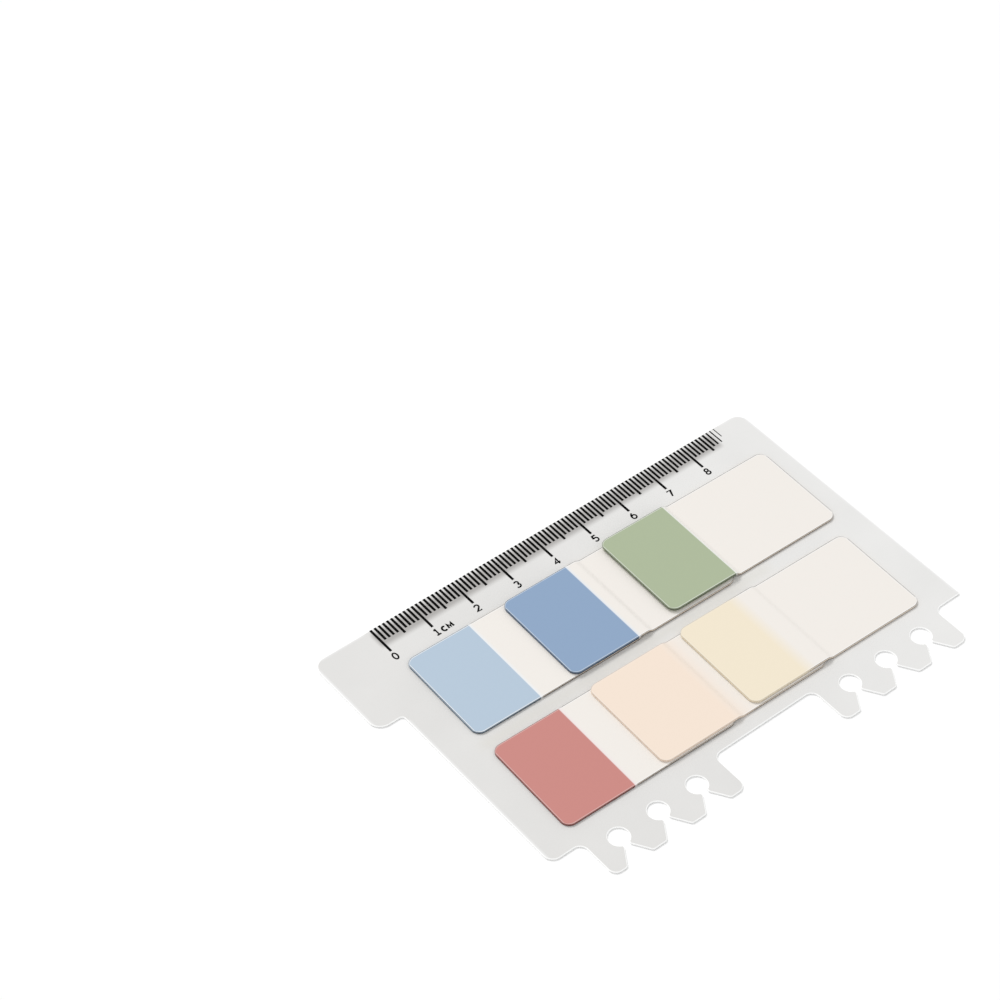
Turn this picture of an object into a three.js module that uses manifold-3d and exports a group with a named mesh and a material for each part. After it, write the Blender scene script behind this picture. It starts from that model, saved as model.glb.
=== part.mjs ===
// Flag card for a loose-leaf binder.
// A frosted plastic sheet carries six small pads of film flags in two overlapping rows.
// One long edge is a ruler, the other has open holes that snap over the rings of a binder.
// Millimetres. X runs along the ruler, Y from the ring holes to the ruler, Z up.
import * as THREE from 'three';
import { mergeVertices } from 'three/addons/utils/BufferGeometryUtils.js';
import Module from 'manifold-3d';

// Card sheet. Positions along the card are read from the ruler's zero tick,
// positions across it from the ruler edge.
const CARD_THICKNESS = 0.4;
const BODY_WIDTH = 64.1;
const TOOTH_LENGTH = 9.2;
const CARD_WIDTH = BODY_WIDTH + TOOTH_LENGTH;
const TAB_LENGTH = 6.0;
const TAB_WIDTH = 20.7;
const CORNER_RADIUS = 2.8;
const LOW_CORNER_RADIUS = 2.2;
const SHARP_CORNER_RADIUS = 0.4;
const TAB_INNER_RADIUS = 0.8;

// Ring holes in two groups. Each is a round hole with a narrow mouth that widens to the edge.
const RING_PITCH = 9.5;
const HOLES_PER_GROUP = 3;
const FIRST_HOLE = 5.45;
const GROUP_SPACING = 58.2;
const HOLE_FROM_BODY = 3.1;
const HOLE_DEPTH = BODY_WIDTH + HOLE_FROM_BODY;
const HOLE_RADIUS = 2.1;
const MOUTH_HALF_WIDTH = 0.75;
const MOUTH_FROM_HOLE = 2.5;
const MOUTH_DEPTH = HOLE_DEPTH + MOUTH_FROM_HOLE;
const FLARE_HALF_WIDTH = 3.1;
const FLARE_CORNER_RADIUS = 0.8;
const MOUTH_CORNER_RADIUS = 0.35;
const FIRST_MARGIN = 6.25;
const TOOTH_MARGIN = 6.9;
const TOOTH_CORNER_RADIUS = 1.8;
const TOOTH_ROOT_RADIUS = 1.8;

// Both ends of each group of holes, then the ends of the card.
const GROUP_STARTS = [FIRST_HOLE, FIRST_HOLE + GROUP_SPACING];
const GROUP_LEFTS = [FIRST_HOLE - FIRST_MARGIN, FIRST_HOLE + GROUP_SPACING - TOOTH_MARGIN];
const GROUP_RIGHTS = GROUP_STARTS.map((x) => x + (HOLES_PER_GROUP - 1) * RING_PITCH + TOOTH_MARGIN);
const START_MARGIN = 7.2;
const END_MARGIN = 7.05;
const BODY_LEFT = GROUP_LEFTS[0] - START_MARGIN;
const BODY_RIGHT = GROUP_RIGHTS[1] + END_MARGIN;
const TAB_END = BODY_LEFT - TAB_LENGTH;

// Ruler print, raised as thin ink ridges on the sheet.
const TICK_COUNT = 89;
const TICK_PITCH = 1.0;
const TICK_WIDTH = 0.5;
const TICK_EDGE_INSET = 0.1;
const TICK_SHORT_END = 4.0;
const TICK_FIVE_END = 4.9;
const TICK_TEN_END = 7.0;
const TICK_HEIGHT = 0.05;
const TICK_ROOT = 0.1;

// Flag pads. The last pad of each row shows its full length, the ones it covers are
// a little shorter.
const PAD_LENGTH = 43.5;
const COVERED_LENGTH = 41.3;
const PAD_WIDTH = 22.7;
const PAD_THICKNESS = 0.5;
const PAD_CORNER_RADIUS = 1.9;
const STEP_MARGIN = 0.15;
const STEP_RUN = 1.7;
const PRINT_THICKNESS = 0.05;
const CUT_MARGIN = 1;
const STEP_SEGMENTS = 10;
const ARC_STEP = Math.PI / 14;

// Where each row starts. The second pad laps over the end of the first, and the third
// starts a gap after the second one's step.
const UPPER_START = 0.2;
const UPPER_ACROSS = 10.7;
const BLUE_LAP = 18.1;
const GREEN_GAP = 5.25;
const LOWER_START = -0.35;
const LOWER_ACROSS = 37.5;
const PEACH_LAP = 18.05;
const YELLOW_GAP = 2.8;

// Print on each free end, measured from its edge.
const LIGHT_BLUE_PRINT = 15.2;
const BLUE_PRINT = 16.1;
const GREEN_PRINT = 16.4;
const RED_PRINT = 16.1;
const PEACH_PRINT = 20.0;
const YELLOW_PRINT = 14.3;

// Small differences in how the pads were stuck down: shift across and turn in degrees,
// and how far a free end stands up over the pad below.
const BLUE_SHIFT = 0.5;
const GREEN_SHIFT = 0.2;
const PEACH_SHIFT = 0.2;
const YELLOW_SHIFT = 0.2;
const BLUE_LIFT = 0.1;
const GREEN_LIFT = 0.4;
const PEACH_LIFT = 0.05;
const YELLOW_LIFT = 0.1;

const ROWS = [
  {
    start: UPPER_START,
    across: UPPER_ACROSS,
    pads: [
      {
        name: 'light_blue',
        reach: 0,
        shift: 0,
        turn: 1.1,
        lift: 0,
        printed: LIGHT_BLUE_PRINT,
        color: 0xb9ccdd,
      },
      {
        name: 'blue',
        reach: -BLUE_LAP,
        shift: BLUE_SHIFT,
        turn: 0.9,
        lift: BLUE_LIFT,
        printed: BLUE_PRINT,
        color: 0x92abc9,
      },
      {
        name: 'green',
        reach: GREEN_GAP,
        shift: GREEN_SHIFT,
        turn: 0.95,
        lift: GREEN_LIFT,
        printed: GREEN_PRINT,
        color: 0xb0bd9f,
      },
    ],
  },
  {
    start: LOWER_START,
    across: LOWER_ACROSS,
    pads: [
      {
        name: 'red',
        reach: 0,
        shift: 0,
        turn: 1.3,
        lift: 0,
        printed: RED_PRINT,
        color: 0xcf8e88,
      },
      {
        name: 'peach',
        reach: -PEACH_LAP,
        shift: PEACH_SHIFT,
        turn: 1.1,
        lift: PEACH_LIFT,
        printed: PEACH_PRINT,
        color: 0xf7e6d6,
      },
      {
        name: 'yellow',
        reach: YELLOW_GAP,
        shift: YELLOW_SHIFT,
        turn: 1.2,
        lift: YELLOW_LIFT,
        printed: YELLOW_PRINT,
        color: 0xf4e8d2,
      },
    ],
  },
];

const CENTRE_ALONG = (TAB_END + BODY_RIGHT) / 2;
const CENTRE_ACROSS = CARD_WIDTH / 2;
const toX = (along) => along - CENTRE_ALONG;
const toY = (across) => CENTRE_ACROSS - across;

const material = (color, roughness) => new THREE.MeshStandardMaterial({ color, roughness, metalness: 0 });

// Rounds the corners of a closed outline. Each entry is x, y and a corner radius.
function roundOutline(corners) {
  const out = [];
  const count = corners.length;
  for (let i = 0; i < count; i += 1) {
    const [x, y, radius] = corners[i];
    const here = new THREE.Vector2(x, y);
    if (!radius) {
      out.push(here);
      continue;
    }
    const before = new THREE.Vector2(...corners[(i + count - 1) % count].slice(0, 2));
    const after = new THREE.Vector2(...corners[(i + 1) % count].slice(0, 2));
    const back = before.sub(here).normalize();
    const ahead = after.sub(here).normalize();
    const half = Math.acos(THREE.MathUtils.clamp(back.dot(ahead), -1, 1)) / 2;
    const reach = radius / Math.tan(half);
    const middle = back.clone().add(ahead).normalize();
    const centre = here.clone().addScaledVector(middle, radius / Math.sin(half));
    const start = here.clone().addScaledVector(back, reach).sub(centre);
    const end = here.clone().addScaledVector(ahead, reach).sub(centre);
    let sweep = end.angle() - start.angle();
    if (sweep > Math.PI) sweep -= 2 * Math.PI;
    if (sweep < -Math.PI) sweep += 2 * Math.PI;
    const steps = Math.max(2, Math.ceil(Math.abs(sweep) / ARC_STEP));
    for (let k = 0; k <= steps; k += 1) {
      const angle = start.angle() + (sweep * k) / steps;
      out.push(new THREE.Vector2(centre.x + radius * Math.cos(angle), centre.y + radius * Math.sin(angle)));
    }
  }
  return out;
}

function plate(points, thickness) {
  return new THREE.ExtrudeGeometry(new THREE.Shape(points), { depth: thickness, bevelEnabled: false });
}

// One ring hole with its mouth, met from right to left along the toothed edge.
function ringHole(along) {
  const list = [
    [toX(along + FLARE_HALF_WIDTH), toY(CARD_WIDTH), FLARE_CORNER_RADIUS],
    [toX(along + MOUTH_HALF_WIDTH), toY(MOUTH_DEPTH), MOUTH_CORNER_RADIUS],
  ];
  const mouthAngle = Math.asin(MOUTH_HALF_WIDTH / HOLE_RADIUS);
  const from = -Math.PI / 2 + mouthAngle;
  const to = (3 * Math.PI) / 2 - mouthAngle;
  const steps = Math.ceil((to - from) / ARC_STEP);
  for (let k = 0; k <= steps; k += 1) {
    const angle = from + ((to - from) * k) / steps;
    const x = toX(along) + HOLE_RADIUS * Math.cos(angle);
    const y = toY(HOLE_DEPTH) + HOLE_RADIUS * Math.sin(angle);
    list.push([x, y, 0]);
  }
  list.push([toX(along - MOUTH_HALF_WIDTH), toY(MOUTH_DEPTH), MOUTH_CORNER_RADIUS]);
  list.push([toX(along - FLARE_HALF_WIDTH), toY(CARD_WIDTH), FLARE_CORNER_RADIUS]);
  return list;
}

function cardOutline() {
  const corners = [
    [toX(TAB_END), toY(0), CORNER_RADIUS],
    [toX(BODY_RIGHT), toY(0), CORNER_RADIUS],
    [toX(BODY_RIGHT), toY(BODY_WIDTH), SHARP_CORNER_RADIUS],
  ];
  for (const group of [1, 0]) {
    corners.push([toX(GROUP_RIGHTS[group]), toY(BODY_WIDTH), TOOTH_ROOT_RADIUS]);
    corners.push([toX(GROUP_RIGHTS[group]), toY(CARD_WIDTH), TOOTH_CORNER_RADIUS]);
    for (let i = HOLES_PER_GROUP - 1; i >= 0; i -= 1) {
      corners.push(...ringHole(GROUP_STARTS[group] + i * RING_PITCH));
    }
    corners.push([toX(GROUP_LEFTS[group]), toY(CARD_WIDTH), TOOTH_CORNER_RADIUS]);
    corners.push([toX(GROUP_LEFTS[group]), toY(BODY_WIDTH), TOOTH_ROOT_RADIUS]);
  }
  corners.push([toX(BODY_LEFT), toY(BODY_WIDTH), LOW_CORNER_RADIUS]);
  corners.push([toX(BODY_LEFT), toY(TAB_WIDTH), TAB_INNER_RADIUS]);
  corners.push([toX(TAB_END), toY(TAB_WIDTH), CORNER_RADIUS]);
  return roundOutline(corners);
}

function tick(index) {
  let end = TICK_SHORT_END;
  if (index % 5 === 0) end = TICK_FIVE_END;
  if (index % 10 === 0) end = TICK_TEN_END;
  const length = end - TICK_EDGE_INSET;
  const geometry = new THREE.BoxGeometry(TICK_WIDTH, length, TICK_HEIGHT + TICK_ROOT);
  const z = CARD_THICKNESS + (TICK_HEIGHT - TICK_ROOT) / 2;
  geometry.translate(toX(index * TICK_PITCH), toY(TICK_EDGE_INSET + length / 2), z);
  return geometry;
}

// Underside of a pad in side view, from its free end. A pad on top of another lies level
// over it, then steps down to the card just past the other's end.
function underside(raise, stepStart) {
  const line = [[0, raise]];
  for (let k = 0; raise > 0 && k <= STEP_SEGMENTS; k += 1) {
    const share = k / STEP_SEGMENTS;
    line.push([stepStart + STEP_RUN * share, (raise * (1 + Math.cos(Math.PI * share))) / 2]);
  }
  return line;
}

// The underside's line, ended at a length.
function endedAt(line, length) {
  const kept = line.filter(([x]) => x < length);
  const [x0, z0] = kept[kept.length - 1];
  const next = line[kept.length];
  const share = next ? (length - x0) / (next[0] - x0) : 0;
  kept.push([length, next ? z0 + (next[1] - z0) * share : z0]);
  return kept;
}

// Side view of a layer that follows the underside's line at a height above it.
function layerProfile(line, length, height, thickness) {
  const ended = endedAt(line, length);
  const lower = ended.map(([x, z]) => new THREE.Vector2(x, z + height));
  const upper = ended.map(([x, z]) => new THREE.Vector2(x, z + height + thickness)).reverse();
  return lower.concat(upper);
}

// Rounded rectangle from the free end, lying on the near side of the far long edge.
function padOutline(length, farRadius) {
  return roundOutline([
    [0, 0, PAD_CORNER_RADIUS],
    [length, 0, farRadius],
    [length, -PAD_WIDTH, farRadius],
    [0, -PAD_WIDTH, PAD_CORNER_RADIUS],
  ]);
}

async function buildCard() {
  const wasm = await Module();
  wasm.setup();
  const { Manifold, Mesh } = wasm;

  const toSolid = (geometry) => {
    const bare = geometry.clone();
    bare.deleteAttribute('normal');
    bare.deleteAttribute('uv');
    const welded = mergeVertices(bare, 1e-4);
    const vertProperties = new Float32Array(welded.attributes.position.array);
    const triVerts = new Uint32Array(welded.index.array);
    return new Manifold(new Mesh({ numProp: 3, vertProperties, triVerts }));
  };
  const toGeometry = (solid) => {
    const mesh = solid.getMesh();
    const geometry = new THREE.BufferGeometry();
    geometry.setAttribute('position', new THREE.BufferAttribute(new Float32Array(mesh.vertProperties), 3));
    geometry.setIndex(new THREE.BufferAttribute(new Uint32Array(mesh.triVerts), 1));
    geometry.computeVertexNormals();
    return geometry;
  };

  const root = new THREE.Group();
  root.name = 'binder_flag_card';
  const add = (name, geometry, finish) => {
    const mesh = new THREE.Mesh(geometry, finish);
    mesh.name = name;
    root.add(mesh);
    return mesh;
  };

  let card = toSolid(plate(cardOutline(), CARD_THICKNESS));
  for (let i = 0; i < TICK_COUNT; i += 1) card = card.add(toSolid(tick(i)));
  add('carrier_card', toGeometry(card), material(0xe6e6e5, 0.5));

  const place = (mesh, spot, height) => {
    mesh.position.set(toX(spot.along), toY(spot.across), height);
    mesh.rotation.z = -THREE.MathUtils.degToRad(spot.turn);
  };
  // A layer of a pad: its side view drawn out across the card, with rounded corners.
  const layer = (profile, length, farRadius, height) => {
    const depth = PAD_WIDTH + 2 * CUT_MARGIN;
    const side = new THREE.ExtrudeGeometry(new THREE.Shape(profile), { depth, bevelEnabled: false });
    side.rotateX(Math.PI / 2);
    side.translate(0, CUT_MARGIN, 0);
    const cutter = plate(padOutline(length, farRadius), height + 2 * CUT_MARGIN);
    cutter.translate(0, 0, -CUT_MARGIN);
    return toGeometry(toSolid(side).intersect(toSolid(cutter)));
  };

  for (const row of ROWS) {
    let below = null;
    row.pads.forEach((pad, order) => {
      const length = order < row.pads.length - 1 ? COVERED_LENGTH : PAD_LENGTH;
      const along = below ? below.along + (below.stepEnd || below.length) + pad.reach : row.start;
      const raise = below ? PAD_THICKNESS + pad.lift : 0;
      const stepStart = below ? below.along + below.length - along + STEP_MARGIN : 0;
      const line = underside(raise, stepStart);
      const spot = { along, across: row.across + pad.shift, turn: pad.turn };
      const stack = raise + PAD_THICKNESS + PRINT_THICKNESS;
      const films = layerProfile(line, length, 0, PAD_THICKNESS);
      const print = layerProfile(line, pad.printed, PAD_THICKNESS, PRINT_THICKNESS);
      const filmShape = layer(films, length, PAD_CORNER_RADIUS, stack);
      const printShape = layer(print, pad.printed, 0, stack);
      place(add(`${pad.name}_pad`, filmShape, material(0xf2ede8, 0.35)), spot, CARD_THICKNESS);
      place(add(`${pad.name}_print`, printShape, material(pad.color, 0.35)), spot, CARD_THICKNESS);
      below = { along, length, stepEnd: below ? stepStart + STEP_RUN : 0 };
    });
  }
  return root;
}

const flagCard = await buildCard();
export default flagCard;
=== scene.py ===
import math
import random

import bmesh
import bpy
from mathutils import Matrix, Vector


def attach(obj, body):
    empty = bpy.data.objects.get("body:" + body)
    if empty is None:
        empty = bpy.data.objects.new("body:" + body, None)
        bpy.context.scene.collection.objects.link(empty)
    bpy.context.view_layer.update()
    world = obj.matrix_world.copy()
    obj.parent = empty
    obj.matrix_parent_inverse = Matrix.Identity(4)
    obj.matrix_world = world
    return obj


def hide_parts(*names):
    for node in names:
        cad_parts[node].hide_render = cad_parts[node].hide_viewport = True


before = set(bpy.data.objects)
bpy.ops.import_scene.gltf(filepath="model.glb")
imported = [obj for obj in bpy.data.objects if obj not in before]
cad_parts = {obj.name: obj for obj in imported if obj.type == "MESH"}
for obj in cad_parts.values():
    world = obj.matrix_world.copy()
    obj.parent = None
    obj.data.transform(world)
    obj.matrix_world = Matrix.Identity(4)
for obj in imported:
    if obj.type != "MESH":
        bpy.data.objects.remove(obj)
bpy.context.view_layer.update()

MM = 0.001
random.seed(11)

# Sizes in millimetres, as in the solids. "along" is read from the ruler's zero tick and
# "across" from the ruler edge.
CARD_THICKNESS = 0.4
BODY_WIDTH = 64.1
TOOTH_LENGTH = 9.2
CARD_WIDTH = BODY_WIDTH + TOOTH_LENGTH
TAB_LENGTH = 6.0
TAB_WIDTH = 20.7
TAB_INNER_RADIUS = 0.8
CORNER_RADIUS = 2.8
LOW_CORNER_RADIUS = 2.2
SHARP_CORNER_RADIUS = 0.4
RING_PITCH = 9.5
HOLES_PER_GROUP = 3
FIRST_HOLE = 5.45
GROUP_SPACING = 58.2
GROUP_STARTS = (FIRST_HOLE, FIRST_HOLE + GROUP_SPACING)
HOLE_FROM_BODY = 3.1
HOLE_DEPTH = BODY_WIDTH + HOLE_FROM_BODY
HOLE_RADIUS = 2.1
MOUTH_HALF_WIDTH = 0.75
MOUTH_FROM_HOLE = 2.5
MOUTH_DEPTH = HOLE_DEPTH + MOUTH_FROM_HOLE
MOUTH_CORNER_RADIUS = 0.35
FLARE_HALF_WIDTH = 3.1
FLARE_CORNER_RADIUS = 0.8
FIRST_MARGIN = 6.25
TOOTH_MARGIN = 6.9
TOOTH_CORNER_RADIUS = 1.8
TOOTH_ROOT_RADIUS = 1.8
START_MARGIN = 7.2
END_MARGIN = 7.05
GROUP_LENGTH = (HOLES_PER_GROUP - 1) * RING_PITCH
GROUP_SIDES = [
    (GROUP_STARTS[0] - FIRST_MARGIN, GROUP_STARTS[0] + GROUP_LENGTH + TOOTH_MARGIN),
    (GROUP_STARTS[1] - TOOTH_MARGIN, GROUP_STARTS[1] + GROUP_LENGTH + TOOTH_MARGIN),
]
BODY_LEFT = GROUP_SIDES[0][0] - START_MARGIN
BODY_RIGHT = GROUP_SIDES[1][1] + END_MARGIN
TAB_END = BODY_LEFT - TAB_LENGTH
EDGE_ROUND = 0.14
PAD_LENGTH = 43.5
COVERED_LENGTH = 41.3
PAD_WIDTH = 22.7
PAD_THICKNESS = 0.5
PAD_CORNER = 1.9
STEP_MARGIN = 0.15
STEP_RUN = 1.7
ARC_STEP = math.pi / 40

# Row: start, across. Pad: name, reach, shift, turn in degrees, lift, printed length,
# print colour and fade length, then the tone of its cut edges in painted shade (low) and
# painted light (high), of its rim of painted highlight and of its outline of painted shade,
# and how many of its sheets have a painted lit edge.
PAD_ROWS = [
    (
        (0.2, 10.7),
        [
            (
                "light_blue", 0.0, 0.0, 1.1, 0.0, 15.2, (185, 204, 222), 0.05,
                (0.32, 0.80, 0.75, 0.66, 3),
            ),
            (
                "blue", -18.1, 0.5, 0.9, 0.1, 16.1, (143, 169, 201), 0.05,
                (0.32, 0.78, 0.50, 0.66, 4),
            ),
            (
                "green", 5.25, 0.2, 0.95, 0.4, 16.4, (176, 189, 157), 0.05,
                (0.36, 0.80, 0.55, 0.66, 5),
            ),
        ],
    ),
    (
        (-0.35, 37.5),
        [
            (
                "red", 0.0, 0.0, 1.3, 0.0, 16.1, (208, 138, 131), 0.05,
                (0.42, 0.80, 0.35, 0.70, 3),
            ),
            (
                "peach", -18.05, 0.2, 1.1, 0.05, 20.0, (251, 233, 216), 2.6,
                (1.0, 1.0, 0.20, 0.86, 6),
            ),
            (
                "yellow", 2.8, 0.2, 1.2, 0.1, 14.3, (248, 236, 212), 1.4,
                (1.0, 1.0, 0.20, 0.86, 6),
            ),
        ],
    ),
]
SHEETS = 9


def linear(rgb):
    out = []
    for v in rgb:
        v /= 255
        out.append(v / 12.92 if v <= 0.04045 else ((v + 0.055) / 1.055) ** 2.4)
    return (*out, 1.0)


def place(along, across, z=0.0):
    centre = (TAB_END + BODY_RIGHT) / 2
    return Vector((along - centre, CARD_WIDTH / 2 - across, z)) * MM


# Camera, floor and light.
camera = bpy.data.objects.new("camera", bpy.data.cameras.new("camera"))
bpy.context.collection.objects.link(camera)
camera.data.sensor_width = 36
camera.data.lens = 99.5
camera.data.clip_start = 0.01
right = Vector((0.7760269, -0.6305302, 0.0146254))
up = Vector((0.4490528, 0.5686591, 0.6891868))
back = Vector((-0.4428699, -0.5282598, 0.7244361))
turn = Matrix((right, up, back)).transposed().to_4x4()
camera.matrix_world = Matrix.Translation(Vector((-246.7835, -246.6725, 404.5480)) * MM) @ turn
bpy.context.scene.camera = camera


def nodes_of(name, rough=0.5):
    mat = bpy.data.materials.new(name)
    mat.use_nodes = True
    tree = mat.node_tree
    shader = tree.nodes["Principled BSDF"]
    shader.inputs["Roughness"].default_value = rough
    return mat, tree, shader


def add_object(name, mesh):
    obj = bpy.data.objects.new(name, mesh)
    bpy.context.collection.objects.link(obj)
    return obj


floor_mesh = bpy.data.meshes.new("floor")
half = 3.0
floor_corners = [(-half, -half, 0), (half, -half, 0), (half, half, 0), (-half, half, 0)]
floor_mesh.from_pydata(floor_corners, [], [(0, 1, 2, 3)])
floor = add_object("floor", floor_mesh)
floor.location.z = -0.00002
mat, tree, shader = nodes_of("floor", 0.9)
shader.inputs["Base Color"].default_value = (0.93, 0.93, 0.93, 1)
shader.inputs["Specular IOR Level"].default_value = 0.1
glow = tree.nodes.new("ShaderNodeEmission")
glow.inputs["Strength"].default_value = 0.12
seen = tree.nodes.new("ShaderNodeLightPath")
both = tree.nodes.new("ShaderNodeAddShader")
pick = tree.nodes.new("ShaderNodeMixShader")
output = tree.nodes["Material Output"]
tree.links.new(shader.outputs[0], both.inputs[0])
tree.links.new(glow.outputs[0], both.inputs[1])
tree.links.new(seen.outputs["Is Camera Ray"], pick.inputs[0])
tree.links.new(shader.outputs[0], pick.inputs[1])
tree.links.new(both.outputs[0], pick.inputs[2])
tree.links.new(pick.outputs[0], output.inputs["Surface"])
floor_mesh.materials.append(mat)

world = bpy.data.worlds.new("studio")
bpy.context.scene.world = world
world.use_nodes = True
world.node_tree.nodes["Background"].inputs[0].default_value = (1, 1, 1, 1)
world.node_tree.nodes["Background"].inputs[1].default_value = 0.68

key = bpy.data.objects.new("key", bpy.data.lights.new("key", "SUN"))
bpy.context.collection.objects.link(key)
key.data.energy = 1.13
key.data.angle = math.radians(22)
key.matrix_world = Vector((0.02, 0.8, 1.0)).to_track_quat("Z", "Y").to_matrix().to_4x4()

scene = bpy.context.scene
scene.view_settings.view_transform = "Standard"


# Soft tints of the sheet: the place as left, far, right and near, how far it fades along and
# across, its depth, its colour and how it is laid on. First the paler right half, then painted
# shade between the rows, the ruler's painted shadow in the sheet, and painted glow at the edges
# that light leaves by.
# Painted glow: the sheet's colour is mixed towards white near its outer edges.
PAINTED_EDGE_GLOW = ((0.45, 0.45), 0.85, (0.98, 0.98, 0.98), "MIX")
SHEET_TINTS = (
    ((50, -60, 200, 140), (50, 1), 1.0, (1.075, 1.08, 1.085), "MULTIPLY"),
    # Painted shade between the pad rows, darker and warmer.
    ((-1, 34.5, 72, 37), (2, 1.2), 1.0, (0.96, 0.95, 0.925), "MULTIPLY"),
    ((-0.7, 1.1, 87.4, 5.0), (0.6, 0.9), 0.72, (0.40, 0.385, 0.375), "MULTIPLY"),
    ((TAB_END - 3, -3, TAB_END + 0.35, TAB_WIDTH), *PAINTED_EDGE_GLOW),
    ((TAB_END - 3, -3, -1.6, 0.3), *PAINTED_EDGE_GLOW),
    ((BODY_LEFT - 3, TAB_WIDTH + 1.5, BODY_LEFT + 0.35, BODY_WIDTH - 0.5), *PAINTED_EDGE_GLOW),
    ((BODY_RIGHT - 0.35, -3, BODY_RIGHT + 3, BODY_WIDTH - 0.5), *PAINTED_EDGE_GLOW),
    ((90.5, -3, BODY_RIGHT + 3, 0.3), *PAINTED_EDGE_GLOW),
)


# Materials.
def tint_patch(tree, colour, low, high, soft, depth, tint, blend):
    """Tints a rectangle of the sheet, softly along its sides."""
    link = tree.links.new
    coords = tree.nodes.new("ShaderNodeTexCoord")
    split = tree.nodes.new("ShaderNodeSeparateXYZ")
    link(coords.outputs["Object"], split.inputs[0])
    masks = []
    for axis in (0, 1):
        for edge, sign in ((low[axis], 1), (high[axis], -1)):
            ramp = tree.nodes.new("ShaderNodeMapRange")
            ramp.interpolation_type = "SMOOTHSTEP"
            ramp.inputs["From Min"].default_value = edge - sign * soft[axis]
            ramp.inputs["From Max"].default_value = edge + sign * soft[axis]
            link(split.outputs[axis], ramp.inputs["Value"])
            masks.append(ramp)
    value = masks[0].outputs[0]
    for mask in masks[1:]:
        times = tree.nodes.new("ShaderNodeMath")
        times.operation = "MULTIPLY"
        link(value, times.inputs[0])
        link(mask.outputs[0], times.inputs[1])
        value = times.outputs[0]
    mix = tree.nodes.new("ShaderNodeMix")
    mix.data_type = "RGBA"
    mix.blend_type = blend
    scale = tree.nodes.new("ShaderNodeMath")
    scale.operation = "MULTIPLY"
    scale.inputs[1].default_value = depth
    link(value, scale.inputs[0])
    link(scale.outputs[0], mix.inputs["Factor"])
    link(colour, mix.inputs[6])
    mix.inputs[7].default_value = tint
    return mix.outputs[2]


def frosted_sheet(name, rgb, rough, grain, tints_and_painted_light=False, glow=0.0):
    mat, tree, shader = nodes_of(name, rough)
    shader.inputs["Specular IOR Level"].default_value = 0.35
    shader.inputs["IOR"].default_value = 1.49
    coords = tree.nodes.new("ShaderNodeTexCoord")
    cloud = tree.nodes.new("ShaderNodeTexNoise")
    cloud.inputs["Scale"].default_value = 60
    cloud.inputs["Detail"].default_value = 4
    ramp = tree.nodes.new("ShaderNodeValToRGB")
    base = linear(rgb)
    ramp.color_ramp.elements[0].color = (*[v * 0.975 for v in base[:3]], 1)
    ramp.color_ramp.elements[1].color = (*[min(1, v * 1.02) for v in base[:3]], 1)
    ramp.color_ramp.elements[0].position = 0.3
    ramp.color_ramp.elements[1].position = 0.7
    fine = tree.nodes.new("ShaderNodeTexNoise")
    fine.inputs["Scale"].default_value = 9000
    fine.inputs["Detail"].default_value = 3
    bump = tree.nodes.new("ShaderNodeBump")
    bump.inputs["Strength"].default_value = grain
    bump.inputs["Distance"].default_value = 0.00001
    link = tree.links.new
    link(coords.outputs["Object"], cloud.inputs["Vector"])
    link(coords.outputs["Object"], fine.inputs["Vector"])
    link(cloud.outputs["Fac"], ramp.inputs[0])
    colour = ramp.outputs[0]
    # Tints laid into the sheet's colour: painted shade between the rows, the ruler's painted
    # shadow, painted glow at the edges, and the paler right half.
    if tints_and_painted_light:
        for (left, far, right_side, near), soft, depth, tint, blend in SHEET_TINTS:
            low, high = place(left, near), place(right_side, far)
            soft = [v * MM for v in soft]
            colour = tint_patch(tree, colour, low, high, soft, depth, (*tint, 1), blend)
    if glow:
        shader.inputs["Emission Color"].default_value = (1, 1, 1, 1)
        shader.inputs["Emission Strength"].default_value = glow
    link(colour, shader.inputs["Base Color"])
    link(fine.outputs["Fac"], bump.inputs["Height"])
    link(bump.outputs[0], shader.inputs["Normal"])
    return mat


# A fade shorter than SHARP_FADE ends in a fine pale line of painted glow, which is LINE_AFTER long.
SHARP_FADE = 0.1
LINE_TONE = 0.84
LINE_AFTER = 0.7

# Colours of the clear film: its top, its cut edges in painted shade (low) and painted light
# (high), its rim of painted highlight, its outline of painted shade.
CLEAR = (247, 242, 236)
CLEAR_SHADED_EDGE = (84, 73, 65)
CLEAR_LIT_EDGE = (240, 224, 205)
CLEAR_RIM = (254, 253, 251)
CLEAR_OUTLINE = (142, 135, 129)


def toned(rgb, share):
    return [v * share for v in rgb]


def lit(rgb, share):
    return [v + (255 - v) * share for v in rgb]


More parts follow.
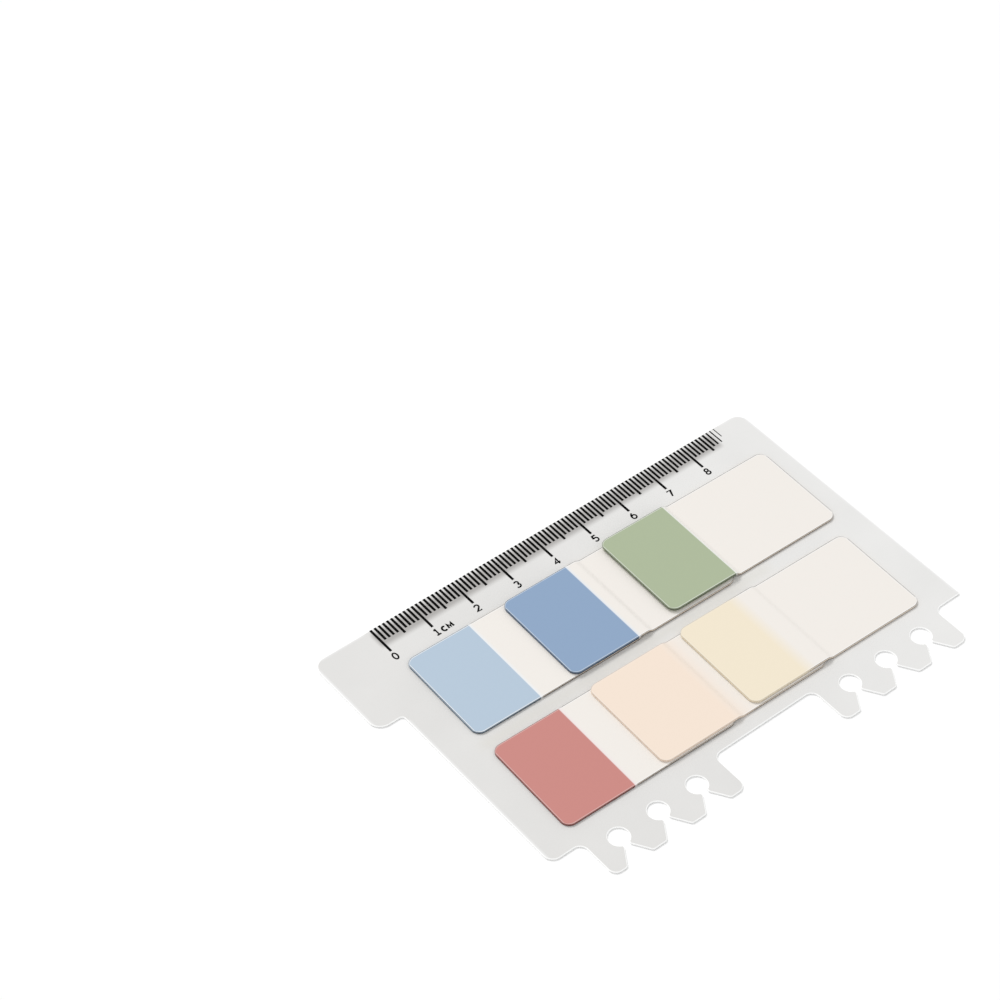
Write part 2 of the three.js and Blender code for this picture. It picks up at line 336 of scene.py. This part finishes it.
def film(name, rgb, clear, printed, fade):
    """Satin film whose print ends at its printed length, softly over its fade."""
    mat, tree, shader = nodes_of(name, 0.38)
    shader.inputs["Specular IOR Level"].default_value = 0.4
    uv = tree.nodes.new("ShaderNodeUVMap")
    uv.uv_map = "film"
    split = tree.nodes.new("ShaderNodeSeparateXYZ")
    ramp = tree.nodes.new("ShaderNodeValToRGB")
    start = max(0.0, (printed - fade) / PAD_LENGTH)
    ramp.color_ramp.elements[0].color = linear(rgb)
    ramp.color_ramp.elements[0].position = start
    ramp.color_ramp.elements[1].color = linear(clear)
    ramp.color_ramp.elements[1].position = min(1.0, start + fade * 2 / PAD_LENGTH)
    # A sharp fade ends in a pale line of painted glow before the clear film.
    if fade < SHARP_FADE:
        ramp.color_ramp.elements[1].color = linear(lit(rgb, LINE_TONE))
        ramp.color_ramp.elements.new((printed + LINE_AFTER) / PAD_LENGTH).color = linear(clear)
    cloud = tree.nodes.new("ShaderNodeTexNoise")
    cloud.inputs["Scale"].default_value = 90
    soft = tree.nodes.new("ShaderNodeBump")
    soft.inputs["Strength"].default_value = 0.15
    soft.inputs["Distance"].default_value = 0.00008
    coords = tree.nodes.new("ShaderNodeTexCoord")
    link = tree.links.new
    link(uv.outputs[0], split.inputs[0])
    link(split.outputs[0], ramp.inputs[0])
    link(ramp.outputs[0], shader.inputs["Base Color"])
    link(coords.outputs["Object"], cloud.inputs["Vector"])
    link(cloud.outputs["Fac"], soft.inputs["Height"])
    link(soft.outputs[0], shader.inputs["Normal"])
    return mat


# Card.
def round_outline(corners):
    out = []
    count = len(corners)
    for i, (x, y, radius) in enumerate(corners):
        here = Vector((x, y))
        if not radius:
            out.append(here)
            continue
        behind = (Vector(corners[i - 1][:2]) - here).normalized()
        ahead = (Vector(corners[(i + 1) % count][:2]) - here).normalized()
        half_angle = behind.angle(ahead) / 2
        reach = radius / math.tan(half_angle)
        centre = here + (behind + ahead).normalized() * (radius / math.sin(half_angle))
        start = here + behind * reach - centre
        end = here + ahead * reach - centre
        first = math.atan2(start.y, start.x)
        sweep = math.atan2(end.y, end.x) - first
        sweep = (sweep + math.pi) % (2 * math.pi) - math.pi
        steps = max(3, math.ceil(abs(sweep) / ARC_STEP))
        for k in range(steps + 1):
            angle = first + sweep * k / steps
            out.append(centre + Vector((math.cos(angle), math.sin(angle))) * radius)
    return out


def ring_hole(along):
    corners = [
        (along + FLARE_HALF_WIDTH, CARD_WIDTH, FLARE_CORNER_RADIUS),
        (along + MOUTH_HALF_WIDTH, MOUTH_DEPTH, MOUTH_CORNER_RADIUS),
    ]
    mouth = math.asin(MOUTH_HALF_WIDTH / HOLE_RADIUS)
    first, last = math.pi / 2 - mouth, -1.5 * math.pi + mouth
    steps = math.ceil(abs(last - first) / ARC_STEP)
    for k in range(steps + 1):
        angle = first + (last - first) * k / steps
        x = along + HOLE_RADIUS * math.cos(angle)
        corners.append((x, HOLE_DEPTH + HOLE_RADIUS * math.sin(angle), 0))
    corners.append((along - MOUTH_HALF_WIDTH, MOUTH_DEPTH, MOUTH_CORNER_RADIUS))
    corners.append((along - FLARE_HALF_WIDTH, CARD_WIDTH, FLARE_CORNER_RADIUS))
    return corners


def card_outline():
    corners = [
        (TAB_END, 0, CORNER_RADIUS),
        (BODY_RIGHT, 0, CORNER_RADIUS),
        (BODY_RIGHT, BODY_WIDTH, SHARP_CORNER_RADIUS),
    ]
    for group in (1, 0):
        left, right_side = GROUP_SIDES[group]
        corners.append((right_side, BODY_WIDTH, TOOTH_ROOT_RADIUS))
        corners.append((right_side, CARD_WIDTH, TOOTH_CORNER_RADIUS))
        for i in reversed(range(HOLES_PER_GROUP)):
            corners += ring_hole(GROUP_STARTS[group] + i * RING_PITCH)
        corners.append((left, CARD_WIDTH, TOOTH_CORNER_RADIUS))
        corners.append((left, BODY_WIDTH, TOOTH_ROOT_RADIUS))
    corners += [
        (BODY_LEFT, BODY_WIDTH, LOW_CORNER_RADIUS),
        (BODY_LEFT, TAB_WIDTH, TAB_INNER_RADIUS),
        (TAB_END, TAB_WIDTH, CORNER_RADIUS),
    ]
    return round_outline(corners)


def make_card():
    bm = bmesh.new()
    ring = [bm.verts.new(place(p.x, p.y, 0)) for p in card_outline()]
    face = bm.faces.new(ring)
    lifted = bmesh.ops.extrude_face_region(bm, geom=[face])
    raised = [v for v in lifted["geom"] if isinstance(v, bmesh.types.BMVert)]
    bmesh.ops.translate(bm, verts=raised, vec=(0, 0, CARD_THICKNESS * MM))
    bmesh.ops.recalc_face_normals(bm, faces=bm.faces)
    rim = [e for e in bm.edges if abs(e.verts[0].co.z - e.verts[1].co.z) < 1e-7]
    bmesh.ops.bevel(bm, geom=rim, offset=EDGE_ROUND * MM, segments=3, profile=0.5, affect="EDGES")
    mesh = bpy.data.meshes.new("card")
    bm.to_mesh(mesh)
    bm.free()
    for poly in mesh.polygons:
        flat = abs(poly.normal.z) > 0.999
        poly.use_smooth = not flat
        low = max(mesh.vertices[v].co.z for v in poly.vertices) < 1.5 * EDGE_ROUND * MM
        # Painted shade: low wall faces that face the near side take the darker foot, a contact
        # shadow line.
        poly.material_index = 0 if flat else 2 if low and poly.normal.y < -0.25 else 1
    return add_object("card", mesh)


card = make_card()
card.data.materials.append(frosted_sheet("frosted_sheet", (231, 230, 228), 0.48, 0.4, tints_and_painted_light=True))
# Painted glow: the cut edges emit light, standing in for light passing out through the sheet.
card.data.materials.append(frosted_sheet("cut_edge", (252, 252, 251), 0.3, 0.1, glow=0.16))
# Painted shade: the darker foot line along the near cut edges.
card.data.materials.append(frosted_sheet("cut_edge_painted_shade", (226, 226, 225), 0.4, 0.1))
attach(card, "root")
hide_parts("carrier_card")


# Flag pads. Each sheet's top has an outline LINE wide and a rim that reaches to RIM, which on
# the top sheet are painted shade and painted highlight, and a sheet fills SHEET_SHARE of its
# pitch and strays by up to SHEET_STRAY.
LINE = 0.1
RIM = 0.26
SHEET_SHARE = 0.95
SHEET_STRAY = 0.03
# Material slots: the film, its cut edges in painted shade and painted light, its rim of painted
# highlight, its outline of painted shade.
FILM, SHADED_EDGE, LIT_EDGE, LIT_RIM, OUTLINE = range(5)


def height_at(u, raised, step_start):
    if not raised:
        return 0.0
    share = min(1.0, max(0.0, (u - step_start) / STEP_RUN))
    return raised * (1 + math.cos(math.pi * share)) / 2


def stations(first, last, length, step_start, raised):
    marks = {first, last}
    for k in range(11):
        inset = PAD_CORNER * (1 - math.cos(math.pi / 2 * k / 10))
        marks |= {inset, length - inset}
    for inset in (LINE, RIM):
        marks |= {inset, length - inset}
    if raised:
        for k in range(17):
            marks.add(step_start + STEP_RUN * k / 16)
    return sorted(m for m in marks if first - 1e-6 <= m <= last + 1e-6)


def side_inset(u, length, radius):
    edge = min(u, length - u)
    if edge >= radius:
        return 0.0
    return radius - math.sqrt(max(0.0, radius**2 - (radius - edge) ** 2))


def make_sheets(name, spot, first, last, shifts, lit_edge_sheets):
    """A stack of separate films that follow the step, the top one with a painted highlight rim and
    a painted shade outline, the cut edges painted lit on the upper sheets and shaded below.
    """
    along, across, length, raised, step_start, spin = spot
    bm = bmesh.new()
    film_uv = bm.loops.layers.uv.new("film")
    pitch = PAD_THICKNESS / SHEETS
    where = {}
    faces = []

    def point(u, v, z, du, dv):
        x = along + (u + du) * math.cos(spin) - (v + dv) * math.sin(spin)
        y = across + (u + du) * math.sin(spin) + (v + dv) * math.cos(spin)
        vert = bm.verts.new(place(x, y, z + height_at(u, raised, step_start)))
        where[vert] = (u, v)
        return vert

    for s, (du, dv) in enumerate(shifts):
        z0 = CARD_THICKNESS + s * pitch
        z1 = z0 + pitch * SHEET_SHARE
        top = s == SHEETS - 1
        # Painted light on the cut edges: the upper lit_edge_sheets take the lit copy, the lower
        # sheets the shaded copy.
        edge = LIT_EDGE if s >= SHEETS - lit_edge_sheets else SHADED_EDGE
        rows = []
        for u in stations(first, last, length, step_start, raised):
            inset = side_inset(u, length, PAD_CORNER)
            near = PAD_WIDTH - inset
            insets = (inset, inset + LINE, inset + RIM)
            across_top = [*insets, *(PAD_WIDTH - v for v in reversed(insets))]
            row = [point(u, v, z1, du, dv) for v in across_top]
            row += [point(u, v, z0, du, dv) for v in (near, inset)]
            rows.append(row)
        for a, b in zip(rows, rows[1:]):
            reach = min(where[a[0]][0], where[b[0]][0])
            reach = min(reach, length - max(where[a[0]][0], where[b[0]][0]))
            for k in range(8):
                faces.append(bm.faces.new((a[k], b[k], b[(k + 1) % 8], a[(k + 1) % 8])))
                if k in (5, 7):
                    faces[-1].material_index = edge
                # The top sheet's border: an outline of painted shade, then a rim of painted
                # highlight.
                elif top and k < 5:
                    line_here = k in (0, 4) or reach < LINE - 1e-6
                    rim_here = k in (1, 3) or reach < RIM - 1e-6
                    look = OUTLINE if line_here else LIT_RIM if rim_here else FILM
                    faces[-1].material_index = look
        for row in (rows[0], rows[-1][::-1]):
            faces.append(bm.faces.new(row))
            faces[-1].material_index = edge
    for face in faces:
        for loop in face.loops:
            u, v = where[loop.vert]
            loop[film_uv].uv = (u / PAD_LENGTH, v / PAD_LENGTH)
    bmesh.ops.recalc_face_normals(bm, faces=bm.faces)
    mesh = bpy.data.meshes.new(name)
    bm.to_mesh(mesh)
    bm.free()
    return add_object(name, mesh)


for (start, row_across), pads in PAD_ROWS:
    below = None
    for order, pad in enumerate(pads):
        name, reach, shift, turned, lift, printed, rgb, fade, (low, high, rim, line, light) = pad
        length = COVERED_LENGTH if order < len(pads) - 1 else PAD_LENGTH
        along = below["along"] + (below["step_end"] or below["length"]) + reach if below else start
        raised = PAD_THICKNESS + lift if below else 0.0
        step_start = below["along"] + below["length"] - along + STEP_MARGIN if below else 0.0
        spot = (along, row_across + shift, length, raised, step_start, math.radians(turned))
        shifts = []
        for _ in range(SHEETS):
            stray_along = random.uniform(-SHEET_STRAY, SHEET_STRAY)
            stray_across = random.uniform(-SHEET_STRAY, SHEET_STRAY)
            shifts.append((stray_along, stray_across))
        # Lit and shaded copies of the film: its face, its cut edges in painted shade and painted
        # light, its rim of painted highlight and its outline of painted shade.
        looks = [
            film(f"{name}_film", rgb, CLEAR, printed, fade),
            film(f"{name}_edge_painted_shade", toned(rgb, low), CLEAR_SHADED_EDGE, printed, fade),
            film(f"{name}_edge_painted_highlight", toned(rgb, high), CLEAR_LIT_EDGE, printed, fade),
            film(f"{name}_rim", lit(rgb, rim), CLEAR_RIM, printed, fade),
            film(f"{name}_outline", toned(rgb, line), CLEAR_OUTLINE, printed, fade),
        ]
        ends = make_sheets(f"{name}_flag_ends", spot, 0.0, printed, shifts, light)
        strips = make_sheets(f"{name}_flag_film", spot, printed, length, shifts, light)
        parts = (
            (ends, f"{name}_ink", f"{name}_print"),
            (strips, "clear_film", f"{name}_pad"),
        )
        for obj, slot, node in parts:
            for look in looks:
                obj.data.materials.append(look)
            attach(obj, "root")
            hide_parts(node)
        step_end = step_start + STEP_RUN if below else 0.0
        below = {"along": along, "length": length, "step_end": step_end}


# Ruler print.
INK_HEIGHT = 0.02
INK_ROOT = 0.02
SIGN_FOOT = 0.002
TICK_WIDTH = 0.54
TICK_COUNT = 90
TICK_START = 0.12
LEAST_START = 0.08
TICK_SHORT_END = 4.0
TICK_FIVE_END = 4.9
TICK_TEN_END = 7.0
FIRST_FAINT_TICK = 87
LAST_TICK_END = 2.8


def print_bow(i):
    """The print runs slightly out of true with the card's edge."""
    return -0.3 + 0.0125 * i - 0.00009 * i**2


def box_into(bm, low, high, z0, z1):
    corners = []
    for z in (z0, z1):
        for x, y in ((low[0], low[1]), (high[0], low[1]), (high[0], high[1]), (low[0], high[1])):
            corners.append(bm.verts.new(place(x, y, z)))
    sides = ((0, 4, 5, 1), (1, 5, 6, 2), (2, 6, 7, 3), (3, 7, 4, 0))
    for quad in ((0, 1, 2, 3), (7, 6, 5, 4), *sides):
        bm.faces.new([corners[i] for i in quad])


bm = bmesh.new()
for i in range(TICK_COUNT):
    end = TICK_TEN_END if i % 10 == 0 else TICK_FIVE_END if i % 5 == 0 else TICK_SHORT_END
    width = TICK_WIDTH
    if i >= FIRST_FAINT_TICK:
        width *= 0.75 - 0.2 * (i - FIRST_FAINT_TICK)
    if i == TICK_COUNT - 1:
        end = LAST_TICK_END
    start = max(LEAST_START, TICK_START + print_bow(i))
    low, high = (i - width / 2, start), (i + width / 2, end + print_bow(i))
    box_into(bm, low, high, CARD_THICKNESS - INK_ROOT, CARD_THICKNESS + INK_HEIGHT)
bmesh.ops.recalc_face_normals(bm, faces=bm.faces)
mesh = bpy.data.meshes.new("ruler_ticks")
bm.to_mesh(mesh)
bm.free()
ticks = add_object("ruler_ticks", mesh)
ink, tree, shader = nodes_of("black_ink", 0.65)
shader.inputs["Base Color"].default_value = linear((3, 3, 3))
shader.inputs["Specular IOR Level"].default_value = 0.05
ticks.data.materials.append(ink)
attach(ticks, "root")
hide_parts("carrier_card")


def arc(cx, cy, rx, ry, first, last, steps=14):
    turns = [math.radians(first + (last - first) * k / steps) for k in range(steps + 1)]
    return [(cx + rx * math.cos(t), cy + ry * math.sin(t)) for t in turns]


# Strokes of each sign in a box one unit high, with up along +y.
SIGNS = {
    "0": [arc(0, 0.5, 0.29, 0.5, 0, 360, 28)],
    "1": [[(-0.24, 0.8), (0.0, 0.96)], [(0.0, 1.04), (0.0, 0.0)], [(-0.3, 0.0), (0.3, 0.0)]],
    "2": [arc(0, 0.72, 0.29, 0.28, 165, -30) + [(-0.3, 0.0), (0.32, 0.0)]],
    "3": [arc(-0.02, 0.75, 0.27, 0.25, 150, -80) + arc(-0.02, 0.27, 0.31, 0.27, 80, -150)],
    "4": [[(0.12, 0.0), (0.12, 1.0), (-0.34, 0.28), (0.36, 0.28)]],
    "5": [[(0.27, 1.0), (-0.2, 1.0), (-0.25, 0.56)] + arc(-0.02, 0.31, 0.3, 0.31, 125, -150)],
    "6": [arc(0.3, 0.32, 0.62, 0.7, 112, 180), arc(0, 0.32, 0.31, 0.32, 0, 360, 24)],
    "7": [[(-0.3, 1.0), (0.3, 1.0), (-0.08, 0.0)]],
    "8": [arc(0, 0.75, 0.24, 0.25, -90, 270, 22), arc(0, 0.26, 0.3, 0.26, 90, 450, 24)],
    "C": [arc(0, 0.5, 0.42, 0.5, 48, 312, 20)],
    "M": [[(-0.5, 0.0), (-0.4, 1.0), (0.0, 0.2), (0.4, 1.0), (0.5, 0.0)]],
}


def stroke_into(bm, points, half_width, z0, z1):
    """A flat ribbon with closed sides along a line of points."""
    count = len(points)
    rows = []
    for i, here in enumerate(points):
        before, after = points[max(0, i - 1)], points[min(count - 1, i + 1)]
        ahead = (after - before).normalized()
        side = Vector((-ahead.y, ahead.x)) * half_width
        if 0 < i < count - 1:
            bend = (here - before).normalized().dot((after - here).normalized())
            side /= max(0.5, math.sqrt(max(0.0, (1 + bend) / 2)))
        left, right_side = here + side, here - side
        corners = ((left, z1), (right_side, z1), (right_side, z0), (left, z0))
        rows.append([bm.verts.new(place(p.x, p.y, z)) for p, z in corners])
    for a, b in zip(rows, rows[1:]):
        for k in range(4):
            bm.faces.new((a[k], b[k], b[(k + 1) % 4], a[(k + 1) % 4]))
    bm.faces.new(rows[0])
    bm.faces.new(rows[-1][::-1])


def sign_into(bm, sign, along, across, height, half_width):
    """across is the foot of the sign; its top points to the ruler edge."""
    for line in SIGNS[sign]:
        points = [Vector((along + x * height, across - y * height)) for x, y in line]
        stroke_into(bm, points, half_width, CARD_THICKNESS + SIGN_FOOT, CARD_THICKNESS + INK_HEIGHT)


NUMBER_SHIFT = -0.12
NUMBER_FOOT = 9.3
NUMBER_HEIGHT = 1.6
NUMBER_HALF_STROKE = 0.165
UNIT_FOOT = 9.1
UNIT_HEIGHT = 1.1
UNIT_HALF_STROKE = 0.2
UNIT_SIGNS = (("C", 11.55), ("M", 12.95))
bm = bmesh.new()
for i in range(9):
    foot = NUMBER_FOOT + print_bow(i * 10)
    sign_into(bm, str(i), i * 10 + NUMBER_SHIFT, foot, NUMBER_HEIGHT, NUMBER_HALF_STROKE)
for sign, along in UNIT_SIGNS:
    sign_into(bm, sign, along, UNIT_FOOT, UNIT_HEIGHT, UNIT_HALF_STROKE)
bmesh.ops.recalc_face_normals(bm, faces=bm.faces)
mesh = bpy.data.meshes.new("ruler_numbers")
bm.to_mesh(mesh)
bm.free()
numbers = add_object("ruler_numbers", mesh)
numbers.data.materials.append(ink)
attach(numbers, "root")
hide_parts("carrier_card")
